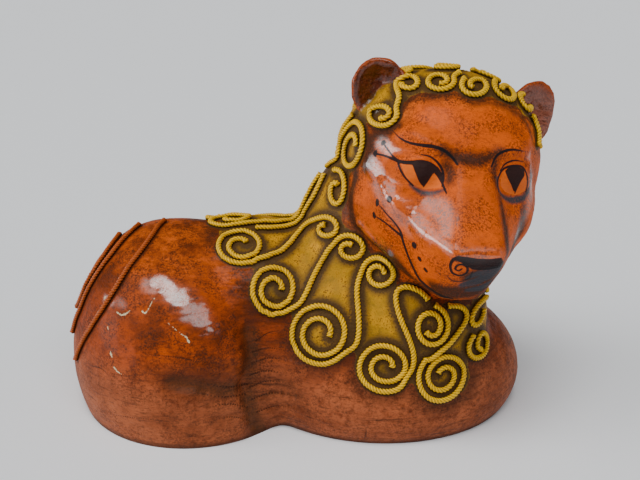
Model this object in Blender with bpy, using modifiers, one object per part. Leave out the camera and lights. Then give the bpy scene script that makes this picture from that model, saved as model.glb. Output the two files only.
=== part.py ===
"""Papier-mache lion lying down, its head turned to one side, with a mane of glued cord scrolls."""

import math

import bmesh
import bpy
from mathutils import Euler, Matrix, Vector
from mathutils.bvhtree import BVHTree

# Driving sizes, in metres
LENGTH = 0.340
MANE_CORD = 0.0040
TAIL_CORD = 0.0036
GLUE_GAP = 0.0003
EAR_WALL = 0.0050

# The carver's unit: every proportion of the free form below is a share of the length
UNIT = LENGTH / 340.0
VOXEL = 2.6 * UNIT
SKIN_TRIANGLES = 2300
FLOOR_SNAP = 0.0005
CORD_SIDES = 6
MOST_STRAY = 0.0011
LONGEST_CHORD = 14 * UNIT

# The head's own frame has its nose along +X, its left along +Y and its crown along +Z
HEAD_CENTRE = (105.0, -19.0, 185.0)
HEAD_TURN = -80.0
HEAD_LEAN = -6.0
EAR_PLACE = {-1: (0, -50, 47), 1: (0, 60, 36)}
EAR_CORNER = {-1: 0.0, 1: 0.13}
EAR_SIZE = {-1: (21.5, 24.5, 15.0), 1: (21.5, 28.0, 15.0)}


def clear_scene():
    for obj in list(bpy.data.objects):
        bpy.data.objects.remove(obj)


def share(values):
    return Vector(values) * UNIT


def head_frame():
    lean = Euler((math.radians(HEAD_LEAN), 0, 0)).to_matrix()
    turn = Euler((0, 0, math.radians(HEAD_TURN))).to_matrix() @ lean
    return Matrix.Translation(share(HEAD_CENTRE)) @ turn.to_4x4()


def add_lump(bm, centre, radii, tilt=(0, 0, 0), frame=Matrix(), detail=4):
    """One rounded mass of the form, as an ellipsoid."""
    turn = Euler([math.radians(a) for a in tilt]).to_matrix().to_4x4()
    place = frame @ Matrix.Translation(share(centre)) @ turn @ Matrix.Diagonal((*share(radii), 1))
    bmesh.ops.create_icosphere(bm, subdivisions=detail, radius=1, matrix=place)


TORSO = (
    # rump, its upper part, waist, back, rear foot
    ((-82, 0, 36), (84, 95, 96), (0, 0, 0)),
    ((-92, 0, 66), (66, 78, 66), (0, 0, 0)),
    ((-20, 3, 46), (75, 70, 84), (0, 0, 0)),
    ((-30, 2, 80), (100, 62, 54), (0, 0, 0)),
    ((-75, 0, 8), (86, 94, 52), (0, 0, 0)),
    # shoulders, forelegs and paws
    ((40, 0, 44), (82, 80, 88), (0, 0, 0)),
    ((66, 0, 22), (106, 92, 61), (0, 0, 0)),
    # nape, neck, breast
    ((57, 4, 120), (54, 56, 84), (0, 17, 0)),
    ((86, -8, 120), (54, 56, 66), (0, 0, 0)),
    ((86, -26, 72), (56, 54, 64), (0, 0, 0)),
)

SKULL = (
    # cranium, back of the head, face, jaw
    ((-2, 1, 4), (62, 67, 61), (0, 0, 0)),
    ((-22, -14, 2), (54, 53, 57), (0, 0, 0)),
    ((8, 1, -24), (50, 66, 50), (0, 0, 0)),
    ((28, 0, -42), (42, 48, 35), (0, 0, 0)),
    # cheeks
    ((25, 31, -20), (36, 24, 34), (0, 0, 14)),
    ((25, -31, -20), (36, 24, 34), (0, 0, -14)),
    # brows and eyeballs
    ((41, 26, 25), (14, 24, 10), (14, 0, 26)),
    ((41, -26, 25), (14, 24, 10), (-14, 0, -26)),
    ((42, 31, 8), (17, 19, 12), (0, 0, 20)),
    ((42, -31, 8), (17, 19, 12), (0, 0, -20)),
)

MUZZLE = (
    # right half of the muzzle's corners: bridge, nose, cheek, lip, chin, jaw, root
    (58, 9, 20),
    (101, 15, -29),
    (98, 14, -38),
    (44, 46, -14),
    (58, 40, -36),
    (82, 23, -46),
    (74, 13, -72),
    (42, 32, -66),
    (0, 34, -20),
    (0, 26, -60),
)


def add_muzzle(bm, frame):
    """A blunt wedge with a flat-topped bridge, hung between the brows and the chin."""
    hull = bmesh.new()
    for x, y, z in MUZZLE:
        for side in (-1, 1):
            hull.verts.new(frame @ share((x, y * side, z)))
    bmesh.ops.convex_hull(hull, input=hull.verts[:])
    add_mesh(bm, hull)


def add_mesh(bm, other):
    mesh = bpy.data.meshes.new("extra")
    other.to_mesh(mesh)
    other.free()
    bm.from_mesh(mesh)
    bpy.data.meshes.remove(mesh)


def add_ear(bm, frame, side):
    """A cup of paper that opens forwards, its foot sunk in the skull."""
    ear = bmesh.new()
    bmesh.ops.create_icosphere(ear, subdivisions=4, radius=1)
    wide, tall, deep = EAR_SIZE[side]
    open_angle = math.radians(84)
    wall = EAR_WALL / UNIT
    for vert in ear.verts:
        x, y, z = vert.co.normalized()
        polar = math.acos(max(-1.0, min(1.0, -x))) / math.pi
        around = math.atan2(z, y)
        reach = 1 - abs(2 * polar - 1)
        half = math.copysign(wall / 2 * math.sqrt(1 - reach**8), 0.5 - polar)
        lift = reach * open_angle
        corner = 1 + EAR_CORNER[side] * max(0.0, -math.sin(2 * around)) * (y > 0)
        vert.co = (
            -(deep - wall / 2 + half) * math.cos(lift),
            (wide - wall / 2 + half) * math.sin(lift) * math.cos(around) * corner,
            (tall - wall / 2 + half) * math.sin(lift) * math.sin(around) * corner,
        )
    turn = Euler((math.radians(-20 * side), 0, math.radians(14 * side))).to_matrix().to_4x4()
    place = frame @ Matrix.Translation(share(EAR_PLACE[side])) @ turn
    for vert in ear.verts:
        vert.co = place @ share(vert.co)
    add_mesh(bm, ear)


def new_object(name, mesh):
    obj = bpy.data.objects.new(name, mesh)
    bpy.context.scene.collection.objects.link(obj)
    return obj


def evaluated_mesh(obj, name):
    bpy.context.view_layer.update()
    graph = bpy.context.evaluated_depsgraph_get()
    mesh = bpy.data.meshes.new_from_object(obj.evaluated_get(graph))
    mesh.name = name
    return mesh


def one_skin(bm, voxel, rounds):
    """Everything in the bmesh fused into one closed skin, then softened."""
    mesh = bpy.data.meshes.new("masses")
    bm.to_mesh(mesh)
    masses = new_object("masses", mesh)
    remesh = masses.modifiers.new("skin", "REMESH")
    remesh.mode = "VOXEL"
    remesh.voxel_size = voxel
    smooth = masses.modifiers.new("smooth", "SMOOTH")
    smooth.factor = 0.5
    smooth.iterations = rounds
    skin = evaluated_mesh(masses, "skin")
    bpy.data.objects.remove(masses)
    bm.clear()
    bm.from_mesh(skin)
    bpy.data.meshes.remove(skin)


def body_form(voxel):
    """The soft masses first, then the crisp bridge and ears, all in one skin."""
    bm = bmesh.new()
    frame = head_frame()
    for centre, radii, tilt in TORSO:
        add_lump(bm, centre, radii, tilt)
    one_skin(bm, voxel, 40)
    for centre, radii, tilt in SKULL:
        add_lump(bm, centre, radii, tilt, frame)
    one_skin(bm, voxel, 12)
    add_muzzle(bm, frame)
    for side in (-1, 1):
        add_ear(bm, frame, side)
    one_skin(bm, voxel, 14)
    return bm


def stand_on_floor(bm):
    """Everything under the floor cut off, and the cut closed with one flat face."""
    cut = bmesh.ops.bisect_plane(
        bm,
        geom=bm.verts[:] + bm.edges[:] + bm.faces[:],
        plane_co=(0, 0, 0),
        plane_no=(0, 0, -1),
        clear_outer=True,
    )
    rim = [e for e in cut["geom_cut"] if isinstance(e, bmesh.types.BMEdge)]
    bmesh.ops.contextual_create(bm, geom=rim)
    bmesh.ops.triangulate(bm, faces=bm.faces[:])


def build_body():
    bm = body_form(VOXEL)
    stand_on_floor(bm)
    mesh = bpy.data.meshes.new("fine")
    bm.to_mesh(mesh)
    fine = new_object("fine", mesh)
    fewer = fine.modifiers.new("fewer", "DECIMATE")
    fewer.ratio = SKIN_TRIANGLES / len(bm.faces)
    bm.free()
    body = new_object("body", evaluated_mesh(fine, "body"))
    bpy.data.objects.remove(fine)
    for vert in body.data.vertices:
        if vert.co.z < FLOOR_SNAP:
            vert.co.z = 0.0
    return body


# The scrolls are laid out on pictures of the form, 640 by 480 steps, each drawn from one eye
# point towards one aim point. The near picture is the view of the reference photo.
PICTURE_MIDDLE = (320, 240)
PICTURE_FOCUS = 1013.0
PICTURES = {
    "near": ((20, -695, 391), (20, 0, 120)),
    "far": ((60, 695, 391), (60, 0, 120)),
    "rear": ((-420, 380, 480), (70, 0, 170)),
    "crown": ((80, 120, 800), (100, -10, 240)),
    "front": ((720, -260, 300), (110, -10, 110)),
    "rump": ((-620, -420, 330), (-120, 0, 80)),
    "top": ((0, -60, 900), (0, 0, 130)),
}


def curl(x, y, wide, tall, clock, turns, keep=0.3, tilt=0.0, ease=1.3):
    """A flat spiral from its outer end at a clock angle to its inner end; negative turns run back."""
    count = max(4, round(abs(turns) * 12))
    lean = math.radians(tilt)
    points = []
    for i in range(count + 1):
        t = i / count
        angle = math.radians(clock + 360 * turns * t)
        scale = 1 - (1 - keep) * t**ease
        dx = wide * scale * math.sin(angle)
        dy = -tall * scale * math.cos(angle)
        points.append((x + dx * math.cos(lean) - dy * math.sin(lean), y + dx * math.sin(lean) + dy * math.cos(lean)))
    return points


def uncurl(*args, **kwargs):
    return curl(*args, **kwargs)[::-1]


CORDS = {
    # the cape's near side, from the back to the breast
    "mane_cord_01": ("near", uncurl(327, 228, 13.5, 11.5, -40, 1.1)
                     + [(309, 223), (297, 235), (283, 252)]
                     + curl(241.5, 247, 24.5, 17.5, 135, 1.75, ease=1.5)),
    "mane_cord_02": ("near", uncurl(350.5, 248, 16.5, 14, -75, 1.3)
                     + [(329, 250), (317, 271), (310, 287), (301, 304)]
                     + curl(274.5, 289.5, 23.5, 24.5, 148, 1.85, ease=1.55)),
    "mane_cord_03": ("near", uncurl(380, 273, 17.5, 17.5, -72, 1.45)
                     + [(357, 287), (358, 306), (359, 327), (356, 345)]
                     + curl(321, 333, 30, 31, 128, 1.95, ease=1.6)),
    "mane_cord_04": ("near", [(428, 300), (420, 291), (407, 286), (397, 291), (397, 307), (404, 326), (410, 340),
                              (414, 355), (412, 368), (405, 379)]
                     + curl(385, 366, 29, 26.5, 150, 1.85, keep=0.25, ease=1.2)),
    "mane_cord_05": ("near", curl(430.5, 326, 18, 21.5, 12, 1.6, keep=0.36, ease=1.05)),
    "mane_cord_06": ("near", [(447, 306), (458, 306), (465, 312), (464, 321), (458, 330), (450, 341), (439, 351),
                              (427, 360)]
                     + curl(442.5, 375.5, 24.5, 29.5, -72, -2.05, keep=0.25, tilt=28, ease=1.1)),
    # the breast under the chin
    "mane_cord_09": ("near", [(484, 297), (476, 305), (470, 315), (470, 323), (475, 325), (480, 318), (482, 309)]),
    "mane_cord_10": ("near", [(472, 334), (467, 343), (467, 352), (473, 358), (481, 356), (485, 347), (484, 335),
                              (480, 332), (476, 338), (475, 346), (479, 349)]),
    # nape, down to the back
    "mane_cord_07": ("near", uncurl(354, 147, 11.5, 26, -60, 1.4, tilt=12)
                     + [(338, 146), (332, 158), (329, 168)]),
    "mane_cord_08": ("near", curl(337.5, 190, 10, 20, -20, 1.15, keep=0.25, tilt=5)),
    "mane_cord_34": ("top", [(350, 230), (338, 230), (322, 233), (304, 240)]
                     + curl(262.5, 230.5, 26, 19, 130, 1.35)),
    "mane_cord_35": ("rear", [(358.3, 185), (358, 190), (356, 202), (352.5, 213), (348.5, 225),
                              (348, 236)]),
    "mane_cord_36": ("near", [(326, 175), (320.5, 187), (315, 198), (308.5, 208), (303, 218.5),
                              (293, 226), (279, 229), (267, 229.5), (256, 229.5)]),
    "mane_cord_37": ("near", [(530, 116), (533.5, 122), (536, 130), (537, 138), (536.5, 146)]),
    # the fringe over the forehead, from the near ear to the far ear
    "mane_cord_11": ("near", uncurl(383, 115, 16, 13, 60, 1.38)
                     + [(401, 98), (398, 91)]
                     + curl(409, 85, 12, 8, -80, 0.95, keep=0.5)),
    "mane_cord_12": ("near", [(459, 75)] + curl(440, 83, 14.5, 9, 62, 1.35, ease=1.5)),
    "mane_cord_13": ("near", curl(475, 87.5, 14.5, 10.5, -50, -1.25)),
    "mane_cord_14": ("near", curl(504, 92.5, 14, 7.5, -90, -1.1, tilt=42)),
    "mane_cord_15": ("near", curl(525, 105, 12, 4.5, -60, -0.8, tilt=58)),
    # behind the fringe
    "mane_cord_16": ("crown", curl(258, 240, 17, 15, 100, 1.15)),
    "mane_cord_17": ("crown", curl(310, 236, 18, 15, 60, -1.15)),
    "mane_cord_18": ("crown", curl(360, 250, 17, 17, 20, 1.15)),
    "mane_cord_19": ("crown", curl(268, 292, 24, 20, 60, -1.4)),
    "mane_cord_20": ("crown", curl(334, 300, 24, 20, -60, 1.4)),
    # the cape's far side, in fewer and plainer turns
    "mane_cord_21": ("far", uncurl(386, 238, 13, 11, 40, -1.05) + [(408, 236), (424, 244), (440, 254)]
                     + curl(479, 250, 22, 17, -135, -1.4)),
    "mane_cord_22": ("far", uncurl(362, 254, 13, 13, 75, -1.15) + [(388, 258), (400, 275), (408, 291), (420, 306)]
                     + curl(448, 294, 23, 23, -148, -1.5)),
    "mane_cord_23": ("far", uncurl(330, 268, 15, 15, 72, -1.2) + [(356, 280), (359, 300), (361, 322), (368, 343)]
                     + curl(400, 335, 28, 28, -128, -1.5)),
    "mane_cord_24": ("far", uncurl(292, 274, 14, 14, 80, -1.2) + [(312, 290), (309, 310), (307, 332), (312, 352)]
                     + curl(341, 367, 27, 25, -135, -1.35)),
    "mane_cord_25": ("far", uncurl(252, 280, 13, 13, 80, -1.2) + [(270, 296), (262, 316), (255, 334), (256, 352)]
                     + curl(280, 367, 22, 22, -128, -1.35)),
    # the back of the head and neck
    "mane_cord_26": ("rear", curl(296, 190, 22, 24, 70, 1.3)),
    "mane_cord_27": ("rear", curl(322, 243, 16, 20, -30, -1.2)),
    "mane_cord_28": ("far", curl(290, 215, 20, 18, -60, 1.3)),
    "mane_cord_29": ("far", curl(230, 225, 18, 18, 60, -1.3)),
    # the front and the far side of the face
    "mane_cord_30": ("front", curl(308, 264, 17, 20, 0, 1.3)),
    "mane_cord_31": ("front", curl(352, 284, 18, 20, 0, -1.3)),
    "mane_cord_32": ("front", curl(374, 146, 8, 13, 0, 1.0)),
    "mane_cord_33": ("front", curl(366, 192, 11, 17, 0, -1.1)),
}

TAIL = {
    "tail_cord_1": [(297, 186), (311, 190), (320, 202), (323, 220), (318, 240), (309, 258), (299, 272)],
    "tail_cord_2": [(313, 170), (324, 176), (335, 192), (338, 212), (334, 238), (324, 266), (307, 299)],
    "tail_cord_3": [(333, 159), (348, 164), (365, 175), (377, 196), (381, 220), (377, 249), (365, 279), (338, 320)],
}


def picture_ray(name, x, y):
    eye, aim = (Vector(v) for v in PICTURES[name])
    ahead = (aim - eye).normalized()
    right = ahead.cross(Vector((0, 0, 1))).normalized()
    up = right.cross(ahead)
    across = (x - PICTURE_MIDDLE[0]) / PICTURE_FOCUS
    rise = (PICTURE_MIDDLE[1] - y) / PICTURE_FOCUS
    return eye * UNIT, (ahead + right * across + up * rise).normalized()


def smooth_through(points, steps):
    """A Catmull-Rom curve through the points."""
    points = [Vector(p) for p in points]
    ends = [points[0] * 2 - points[1]] + points + [points[-1] * 2 - points[-2]]
    out = []
    for i in range(1, len(ends) - 2):
        a, b, c, d = ends[i - 1:i + 3]
        for k in range(steps):
            t = k / steps
            out.append(0.5 * (2 * b + (c - a) * t + (2 * a - 5 * b + 4 * c - d) * t * t
                              + (3 * b - a - 3 * c + d) * t**3))
    out.append(ends[-2])
    return out


def lay_on(tree, picture, points, lift):
    """The curve dropped from the picture onto the form and raised by the lift."""
    path = []
    stand, target = (share(v) for v in PICTURES[picture])
    reach = (target - stand).length
    for x, y in smooth_through(points, 4):
        eye, aim = picture_ray(picture, x, y)
        spot, normal, _, far = tree.ray_cast(eye, aim)
        if spot is None:
            spot, normal, _, _ = tree.find_nearest(eye + aim * reach)
        else:
            reach = far
        path.append(spot)
    for _ in range(3):
        path = [path[0]] + [(a + 2 * b + c) / 4 for a, b, c in zip(path, path[1:], path[2:])] + [path[-1]]
    return [clear_of(tree, spot, lift) for spot in path]


def clear_of(tree, spot, lift):
    spot, normal, _, _ = tree.find_nearest(spot)
    point = spot + normal * lift
    for _ in range(16):
        near, _, _, gap = tree.find_nearest(point)
        if gap >= lift:
            break
        point = near + (point - near).normalized() * lift * 1.002
    return point


def thin_out(tree, path, reach):
    """As few points as keep each chord near the curve and clear of the form."""
    kept = [0]
    for i in range(1, len(path) - 1):
        start, end = path[kept[-1]], path[i + 1]
        along = (end - start).normalized()
        stray = max(((p - start) - along * (p - start).dot(along)).length for p in path[kept[-1]:i + 2])
        gaps = [tree.find_nearest(start.lerp(end, t / 4))[3] for t in range(1, 4)]
        if stray > MOST_STRAY or (end - start).length > LONGEST_CHORD or min(gaps) < reach:
            kept.append(i)
    return [path[i] for i in kept] + [path[-1]]


def add_cord(tree, name, picture, points, diameter, material):
    path = lay_on(tree, picture, points, diameter / 2 + GLUE_GAP)
    curve = bpy.data.curves.new(name, "CURVE")
    curve.dimensions = "3D"
    curve.bevel_depth = diameter / 2
    curve.bevel_resolution = CORD_SIDES // 2 - 2
    curve.use_fill_caps = True
    path = thin_out(tree, path, diameter / 2 + GLUE_GAP / 3)
    spline = curve.splines.new("POLY")
    spline.points.add(len(path) - 1)
    for point, place in zip(spline.points, path):
        point.co = (*place, 1)
    curve.materials.append(material)
    return new_object(name, curve)


def add_material(name, colour, roughness):
    material = bpy.data.materials.new(name)
    material.use_nodes = True
    shader = material.node_tree.nodes["Principled BSDF"]
    shader.inputs["Base Color"].default_value = (*colour, 1)
    shader.inputs["Roughness"].default_value = roughness
    return material


def main():
    clear_scene()
    body = build_body()
    tree = BVHTree.FromPolygons([v.co for v in body.data.vertices], [p.vertices for p in body.data.polygons])
    body.data.materials.append(add_material("painted_paper", (0.42, 0.11, 0.03), 0.35))
    yellow = add_material("mane_paint", (0.52, 0.33, 0.03), 0.5)
    orange = add_material("tail_paint", (0.30, 0.08, 0.03), 0.4)
    for name, (picture, points) in CORDS.items():
        add_cord(tree, name, picture, points, MANE_CORD, yellow)
    for name, points in TAIL.items():
        add_cord(tree, name, "rump", points, TAIL_CORD, orange)
    group = bpy.data.collections.new("papier_mache_lion")
    bpy.context.scene.collection.children.link(group)
    for obj in list(bpy.context.scene.collection.objects):
        bpy.context.scene.collection.objects.unlink(obj)
        group.objects.link(obj)


main()
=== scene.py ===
"""The look of a papier-mache lion: a painted shell with rope scrolls glued on, on a pale floor."""

import math
from collections import deque

import bmesh
import bpy
import numpy as np
from mathutils import Euler, Matrix, Vector, kdtree, noise
from mathutils.bvhtree import BVHTree


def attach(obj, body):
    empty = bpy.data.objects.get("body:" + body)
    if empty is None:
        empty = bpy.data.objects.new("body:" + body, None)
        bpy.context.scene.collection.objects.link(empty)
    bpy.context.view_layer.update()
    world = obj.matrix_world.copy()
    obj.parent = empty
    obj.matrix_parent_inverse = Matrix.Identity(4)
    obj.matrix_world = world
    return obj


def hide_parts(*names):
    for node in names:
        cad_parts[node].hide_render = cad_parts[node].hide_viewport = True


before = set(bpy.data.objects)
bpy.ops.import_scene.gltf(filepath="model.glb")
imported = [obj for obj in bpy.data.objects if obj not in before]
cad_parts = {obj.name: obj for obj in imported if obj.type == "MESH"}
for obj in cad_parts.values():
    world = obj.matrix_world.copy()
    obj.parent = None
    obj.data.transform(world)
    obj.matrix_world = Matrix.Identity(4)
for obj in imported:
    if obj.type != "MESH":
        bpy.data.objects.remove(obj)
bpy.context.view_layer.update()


# The shell is glued paper: a bean-shaped body, a big head turned aside and two cupped ears. Its soft
# masses are fused into one skin, then the crisp bridge of the nose and the ears are built up on it.
# It dries a little uneven, wrinkles at the waist, and crumples inside the ears.
MM = 0.001
HEAD_CENTRE = (105, -19, 185)
HEAD_TURN = -80
HEAD_LEAN = -6
EAR_PLACE = {-1: (0, -50, 47), 1: (0, 60, 36)}
EAR_CORNER = {-1: 0.0, 1: 0.13}
EAR_SIZE = {-1: (21.5, 24.5, 15.0), 1: (21.5, 28.0, 15.0)}
EAR_OPENING = math.radians(84)
EAR_WALL = 5.0
SOURCE_GRAIN = 2.6
GRAIN = 1.9
# Each mass has its centre and its radii in mm, and some a tilt in degrees.
TORSO = (
    # rump, its upper part, waist, back, rear foot
    ((-82, 0, 36), (84, 95, 96)),
    ((-92, 0, 66), (66, 78, 66)),
    ((-20, 3, 46), (75, 70, 84)),
    ((-30, 2, 80), (100, 62, 54)),
    ((-75, 0, 8), (86, 94, 52)),
    # shoulders, forelegs and paws
    ((40, 0, 44), (82, 80, 88)),
    ((66, 0, 22), (106, 92, 61)),
    # nape, neck, breast
    ((57, 4, 120), (54, 56, 84), (0, 17, 0)),
    ((86, -8, 120), (54, 56, 66)),
    ((86, -26, 72), (56, 54, 64)),
)
SKULL = (
    # cranium, back of the head, face, jaw
    ((-2, 1, 4), (62, 67, 61)),
    ((-22, -14, 2), (54, 53, 57)),
    ((8, 1, -24), (50, 66, 50)),
    ((28, 0, -42), (42, 48, 35)),
    # cheeks
    ((25, 31, -20), (36, 24, 34), (0, 0, 14)),
    ((25, -31, -20), (36, 24, 34), (0, 0, -14)),
    # brows and eyeballs
    ((41, 26, 25), (14, 24, 10), (14, 0, 26)),
    ((41, -26, 25), (14, 24, 10), (-14, 0, -26)),
    ((42, 31, 8), (17, 19, 12), (0, 0, 20)),
    ((42, -31, 8), (17, 19, 12), (0, 0, -20)),
)
MUZZLE = (
    # right half of the muzzle's corners: bridge, nose, cheek, lip, chin, jaw, root
    (58, 9, 20),
    (101, 15, -29),
    (98, 14, -38),
    (44, 46, -14),
    (58, 40, -36),
    (82, 23, -46),
    (74, 13, -72),
    (42, 32, -66),
    (0, 34, -20),
    (0, 26, -60),
)


def turned(tilt):
    return Euler([math.radians(a) for a in tilt]).to_matrix().to_4x4()


head = (
    Matrix.Translation(Vector(HEAD_CENTRE) * MM)
    @ turned((0, 0, HEAD_TURN))
    @ turned((HEAD_LEAN, 0, 0))
)


def add_lump(bm, centre, radii, tilt=(0, 0, 0), place=Matrix()):
    shape = Matrix.Diagonal((*(r * MM for r in radii), 1))
    where = place @ Matrix.Translation(Vector(centre) * MM) @ turned(tilt) @ shape
    bmesh.ops.create_icosphere(bm, subdivisions=5, radius=1, matrix=where)


def put_in_scene(name, data):
    thing = bpy.data.objects.new(name, data)
    bpy.context.scene.collection.objects.link(thing)
    return thing


def as_object(bm, name):
    """The form as an object of the scene, smoothly shaded."""
    mesh = bpy.data.meshes.new(name)
    bm.to_mesh(mesh)
    mesh.shade_smooth()
    return put_in_scene(name, mesh)


def join_in(bm, other):
    mesh = bpy.data.meshes.new("extra")
    other.to_mesh(mesh)
    other.free()
    bm.from_mesh(mesh)
    bpy.data.meshes.remove(mesh)


def add_muzzle(bm):
    hull = bmesh.new()
    for x, y, z in MUZZLE:
        for side in (-1, 1):
            hull.verts.new(head @ (Vector((x, y * side, z)) * MM))
    bmesh.ops.convex_hull(hull, input=hull.verts[:])
    join_in(bm, hull)


def add_ear(bm, side):
    ear = bmesh.new()
    bmesh.ops.create_icosphere(ear, subdivisions=5, radius=1)
    wide, tall, deep = EAR_SIZE[side]
    turn = turned((-20 * side, 0, 14 * side))
    place = head @ Matrix.Translation(Vector(EAR_PLACE[side]) * MM) @ turn
    for vert in ear.verts:
        x, y, z = vert.co.normalized()
        polar = math.acos(max(-1.0, min(1.0, -x))) / math.pi
        around = math.atan2(z, y)
        reach = 1 - abs(2 * polar - 1)
        half = math.copysign(EAR_WALL / 2 * math.sqrt(1 - reach**8), 0.5 - polar)
        lift = reach * EAR_OPENING
        corner = 1 + EAR_CORNER[side] * max(0.0, -math.sin(2 * around)) * (y > 0)
        spot = Vector((
            -(deep - EAR_WALL / 2 + half) * math.cos(lift),
            (wide - EAR_WALL / 2 + half) * math.sin(lift) * math.cos(around) * corner,
            (tall - EAR_WALL / 2 + half) * math.sin(lift) * math.sin(around) * corner,
        ))
        vert.co = place @ (spot * MM)
    join_in(bm, ear)


def one_skin(bm, rounds):
    masses = as_object(bm, "masses")
    skin = masses.modifiers.new("skin", "REMESH")
    skin.mode = "VOXEL"
    skin.voxel_size = GRAIN * MM
    smooth = masses.modifiers.new("smooth", "SMOOTH")
    smooth.factor = 0.5
    smooth.iterations = round(rounds * (SOURCE_GRAIN / GRAIN) ** 2)
    bpy.context.view_layer.update()
    graph = bpy.context.evaluated_depsgraph_get()
    done = bpy.data.meshes.new_from_object(masses.evaluated_get(graph))
    bpy.data.objects.remove(masses)
    bm.clear()
    bm.from_mesh(done)
    bpy.data.meshes.remove(done)


shell = bmesh.new()
for mass in TORSO:
    add_lump(shell, *mass)
one_skin(shell, 40)
for mass in SKULL:
    add_lump(shell, *mass, place=head)
one_skin(shell, 12)
smooth_crown = BVHTree.FromBMesh(shell)
add_muzzle(shell)
for side in (-1, 1):
    add_ear(shell, side)
one_skin(shell, 14)

# Pictures of the form, 640 by 480 steps, each seen from an eye point towards an aim point in
# millimetres. The ropes and the brushwork are laid out on them. The near one is the photograph's.
PICTURE_MIDDLE = (320, 240)
PICTURE_FOCUS = 1013.0
USUAL_REACH = 0.7
PICTURES = {
    "near": ((20, -695, 391), (20, 0, 120)),
    "far": ((60, 695, 391), (60, 0, 120)),
    "rear": ((-420, 380, 480), (70, 0, 170)),
    "crown": ((80, 120, 800), (100, -10, 240)),
    "front": ((720, -260, 300), (110, -10, 110)),
    "rump": ((-620, -420, 330), (-120, 0, 80)),
    "top": ((0, -60, 900), (0, 0, 130)),
}


def picture_axes(name):
    eye, aim = (Vector(v) for v in PICTURES[name])
    ahead = (aim - eye).normalized()
    right = ahead.cross(Vector((0, 0, 1))).normalized()
    return eye * MM, ahead, right, right.cross(ahead)


def picture_ray(name, x, y):
    eye, ahead, right, up = picture_axes(name)
    across = (x - PICTURE_MIDDLE[0]) / PICTURE_FOCUS
    rise = (PICTURE_MIDDLE[1] - y) / PICTURE_FOCUS
    return eye, (ahead + right * across + up * rise).normalized()


def smooth_through(points, steps):
    points = [Vector(p) for p in points]
    ends = [points[0] * 2 - points[1]] + points + [points[-1] * 2 - points[-2]]
    out = []
    for i in range(1, len(ends) - 2):
        a, b, c, d = ends[i - 1:i + 3]
        for k in range(steps):
            t = k / steps
            bend = (2 * a - 5 * b + 4 * c - d) * t * t + (3 * b - a - 3 * c + d) * t**3
            out.append(0.5 * (2 * b + (c - a) * t + bend))
    out.append(ends[-2])
    return out


def drop_on(tree, picture, points, steps=4):
    """The curve through the picture's points, dropped on the form, or beside it where it misses."""
    path = []
    reach = USUAL_REACH
    for x, y in smooth_through(points, steps):
        eye, aim = picture_ray(picture, x, y)
        spot, _, _, far = tree.ray_cast(eye, aim)
        if spot is None:
            spot = tree.find_nearest(eye + aim * reach)[0]
        else:
            reach = far
        path.append(spot)
    return path


def near_to(path):
    """A search tree over a list of points."""
    tree = kdtree.KDTree(len(path))
    for i, spot in enumerate(path):
        tree.insert(spot, i)
    tree.balance()
    return tree


# Dents pressed in before the paper dried, drawn on the near picture: line, half width, depth in mm.
DENTS = (
    ([(172, 384), (195, 387), (222, 391), (246, 388)], 7.0, 5.0),
    ([(250, 332), (254, 352), (252, 372), (250, 396), (256, 422), (262, 436)], 7.5, 5.2),
    ([(214, 364), (236, 368), (250, 372)], 3.0, 0.9),
    ([(262, 345), (276, 343), (296, 346)], 2.4, 1.2),
    ([(260, 358), (280, 357), (300, 361)], 2.2, 1.1),
    ([(258, 384), (274, 380), (292, 384)], 2.4, 1.1),
    ([(256, 371), (272, 368), (298, 372)], 2.2, 1.0),
    ([(258, 398), (276, 393), (302, 397)], 2.4, 1.3),
    ([(262, 411), (282, 405), (304, 409)], 2.2, 0.9),
    ([(246, 372), (232, 376), (210, 373)], 2.2, 1.0),
    ([(248, 402), (230, 401), (208, 405)], 2.4, 1.2),
    ([(250, 418), (236, 415), (214, 418)], 2.2, 0.8),
)
# Crests left proud: the cheek's upper edge, the jaw, the hip, the brows and the eyelids.
CRESTS = (
    ([(368, 166), (376, 178), (388, 196), (402, 212), (418, 228), (436, 243), (452, 254)], 5.5, 2.1),
    ([(360, 224), (373, 238), (389, 253)], 3.2, 2.2),
    ([(146, 276), (164, 287), (184, 302), (203, 320), (214, 337)], 13.0, 1.7),
    ([(396, 139), (412, 142), (430, 144), (446, 151), (457, 163)], 4.0, 1.1),
    ([(494, 163), (501, 152), (514, 149), (528, 151)], 4.0, 1.0),
    ([(400, 160), (414, 159), (430, 160), (440, 170), (444, 184)], 2.2, 0.6),
    ([(408, 184), (420, 192), (434, 193), (445, 189)], 2.4, 0.7),
    ([(500, 196), (512, 201), (524, 198)], 2.4, 0.6),
)
# Ripples and wrinkles of the dry paper: their height in mm, and how many there are in each metre.
RIPPLES = ((0.42, 28), (0.20, 75))
WRINKLES = Vector((60, 60, 420))
WRINKLE_HEIGHT = 0.18
WRINKLE_SHIFT = Vector((7, 3, 1))
CREST_BREAKS = 90
WAIST_AIM = (252, 380)
WAIST_REACH = 0.034
WAIST_FAR_EDGE = 0.02
CRUMPLES = 85
CRUMPLE_REACH = 0.026
CRUMPLE_HEIGHT = 1.9
FLOOR_FADE = 0.006


def bell(far, half_width):
    """1 at no distance, and less and less past the half width."""
    return math.exp(-((far / half_width) ** 2))


def ridges(spot):
    """Sharp little ridges, as in creased paper."""
    return 1 - 2 * abs(noise.noise(spot))


def traced(lines):
    """For each line its search tree, its half width in metres and its height or depth in mm."""
    found = []
    for line, half_width, height in lines:
        found.append((near_to(drop_on(smooth_form, "near", line)), half_width * MM, height))
    return found


def lift_of(lines, spot):
    """The height in mm that the traced lines give the form here."""
    lift = 0.0
    for line, half_width, height in lines:
        far = line.find(spot)[2]
        if far < 3 * half_width:
            lift += height * bell(far, half_width)
    return lift


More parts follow.
